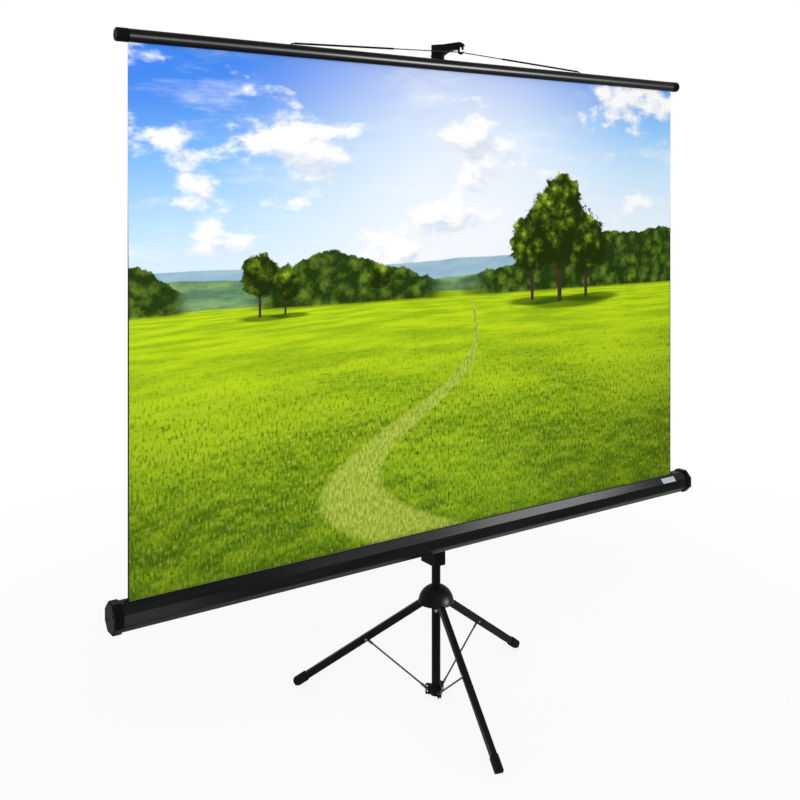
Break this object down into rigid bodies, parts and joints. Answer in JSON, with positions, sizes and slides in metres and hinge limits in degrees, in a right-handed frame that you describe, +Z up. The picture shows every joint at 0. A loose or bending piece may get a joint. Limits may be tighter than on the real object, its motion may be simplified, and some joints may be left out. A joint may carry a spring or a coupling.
{
  "type": "floor-standing projection screen",
  "caption": "Projection fabric pulled up from a roller case on a telescopic mast with a folding tripod base.",
  "frame": {"origin": "middle of the footprint on the floor: halfway along the case's length, and halfway between the front and the rear of the feet", "axes": "+X along the fabric's width to the right as a viewer sees it, +Y away from the viewer, +Z up"},
  "size_m": [1.9442, 0.702, 1.8415],
  "materials": {
    "pole_paint": "satin black enamel",
    "mast_paint": "satin black enamel",
    "leg_paint": "satin black enamel",
    "case_paint": "satin dark grey enamel",
    "bar_paint": "satin black enamel",
    "dome_plastic": "moulded black plastic",
    "black_plastic": "moulded black plastic",
    "cap_plastic": "moulded black plastic",
    "bright_steel": "bright zinc plated",
    "wire_steel": "drawn wire",
    "foot_rubber": "black rubber",
    "sleeve_rubber": "black sleeve",
    "plate": "plain light plate",
    "roller_metal": "plain tube",
    "fabric": "coated projection fabric, picture side to the front",
    "wound_cloth": "coated fabric, dark back outwards"
  },
  "bodies": {
    "pole": {"lower_tube": "pole_paint", "tube_plug": "black_plastic", "strut_collar": "pole_paint", "collar_screw": "bright_steel", "stop_rivet": "bright_steel", "mast_clamp": "pole_paint"},
    "hub": {"leg_hub": "black_plastic", "hub_dome": "dome_plastic", "dome_screws": "bright_steel", "leg_pins": "bright_steel"},
    "right_leg": {"leg_right": "leg_paint", "foot_right": "foot_rubber", "rivet_right": "bright_steel"},
    "left_leg": {"leg_left": "leg_paint", "foot_left": "foot_rubber", "rivet_left": "bright_steel"},
    "front_leg": {"leg_front": "leg_paint", "foot_front": "foot_rubber", "rivet_front": "bright_steel"},
    "right_strut": {"strut_right": "bright_steel", "collar_pin_right": "bright_steel"},
    "left_strut": {"strut_left": "bright_steel", "collar_pin_left": "bright_steel"},
    "front_strut": {"strut_front": "bright_steel", "collar_pin_front": "bright_steel"},
    "carriage": {"carriage_body": "black_plastic", "case_saddle": "case_paint", "pivot_washer": "bright_steel", "pivot_screw": "bright_steel", "case_shell": "case_paint", "end_cap_left": "cap_plastic", "end_cap_right": "cap_plastic", "cap_screws_left": "bright_steel", "cap_screws_right": "bright_steel", "name_plate": "plate", "spring_shaft": "bright_steel", "torsion_spring": "bright_steel"},
    "carriage_knob": {"carriage_knob": "black_plastic", "carriage_knob_screw": "bright_steel"},
    "roller": {"roller_tube": "roller_metal", "wound_fabric": "wound_cloth", "roller_plug_left": "black_plastic", "roller_plug_right": "black_plastic"},
    "mast": {"mast_tube": "mast_paint", "mast_bush": "black_plastic", "mast_head": "black_plastic", "head_screw": "bright_steel", "top_bar": "bar_paint", "bar_cap_left": "cap_plastic", "bar_cap_right": "cap_plastic", "bar_spline": "roller_metal", "bail_anchors": "black_plastic", "bail_wire": "wire_steel", "bail_sleeves": "sleeve_rubber", "screen_fabric": "fabric"},
    "clamp_knob": {"clamp_knob": "black_plastic", "clamp_knob_screw": "bright_steel"}
  },
  "joints": [
    {"name": "hub_slide", "type": "slide", "parent": "pole", "child": "hub", "axis": [0, 0, 1], "range_m": [0, 0.15]},
    {"name": "right_leg_fold", "type": "hinge", "parent": "hub", "child": "right_leg", "pos_m": [0.00861, 0.0592, 0.27378], "axis": [-0.2639, 0.9646, 0], "range_deg": [0, 30.3]},
    {"name": "right_strut_fold", "type": "hinge", "parent": "right_leg", "child": "right_strut", "pos_m": [0.17801, 0.10554, 0.14639], "axis": [-0.2639, 0.9646, 0], "range_deg": [-60.6, 0]},
    {"name": "left_leg_fold", "type": "hinge", "parent": "hub", "child": "left_leg", "pos_m": [-0.03327, 0.07019, 0.27378], "axis": [-0.7034, -0.7108, 0], "range_deg": [0, 30.3]},
    {"name": "left_strut_fold", "type": "hinge", "parent": "left_leg", "child": "left_strut", "pos_m": [-0.1581, 0.19372, 0.14639], "axis": [-0.7034, -0.7108, 0], "range_deg": [-60.6, 0]},
    {"name": "front_leg_fold", "type": "hinge", "parent": "hub", "child": "front_leg", "pos_m": [-0.02184, 0.02842, 0.27378], "axis": [0.9673, -0.2538, 0], "range_deg": [0, 30.3]},
    {"name": "front_strut_fold", "type": "hinge", "parent": "front_leg", "child": "front_strut", "pos_m": [-0.06641, -0.14145, 0.14639], "axis": [0.9673, -0.2538, 0], "range_deg": [-60.6, 0]},
    {"name": "carriage_slide", "type": "slide", "parent": "hub", "child": "carriage", "axis": [0, 0, 1], "range_m": [0, 0.4]},
    {"name": "mast_slide", "type": "slide", "parent": "pole", "child": "mast", "axis": [0, 0, 1], "range_m": [-0.65, 0], "deforming": ["screen_fabric"]},
    {"name": "roller_turn", "type": "hinge", "parent": "carriage", "child": "roller", "pos_m": [-0.0155, -0.0074, 0.467], "axis": [1, 0, 0], "range_deg": [0, 2023]},
    {"name": "clamp_knob_turn", "type": "hinge", "parent": "pole", "child": "clamp_knob", "pos_m": [-0.0155, 0.0826, 1.095], "axis": [0, 1, 0], "range_deg": [0, 360]},
    {"name": "carriage_knob_turn", "type": "hinge", "parent": "carriage", "child": "carriage_knob", "pos_m": [-0.0155, 0.0996, 0.405], "axis": [0, 1, 0], "range_deg": [0, 360]}
  ],
  "couplings": [
    {"joint": "right_leg_fold", "follows": "hub_slide", "rad_per_m": 3.514},
    {"joint": "right_strut_fold", "follows": "hub_slide", "rad_per_m": -7.028},
    {"joint": "left_leg_fold", "follows": "hub_slide", "rad_per_m": 3.514},
    {"joint": "left_strut_fold", "follows": "hub_slide", "rad_per_m": -7.028},
    {"joint": "front_leg_fold", "follows": "hub_slide", "rad_per_m": 3.514},
    {"joint": "front_strut_fold", "follows": "hub_slide", "rad_per_m": -7.028},
    {"joint": "roller_turn", "follows": "mast_slide", "rad_per_m": -54.3}
  ]
}
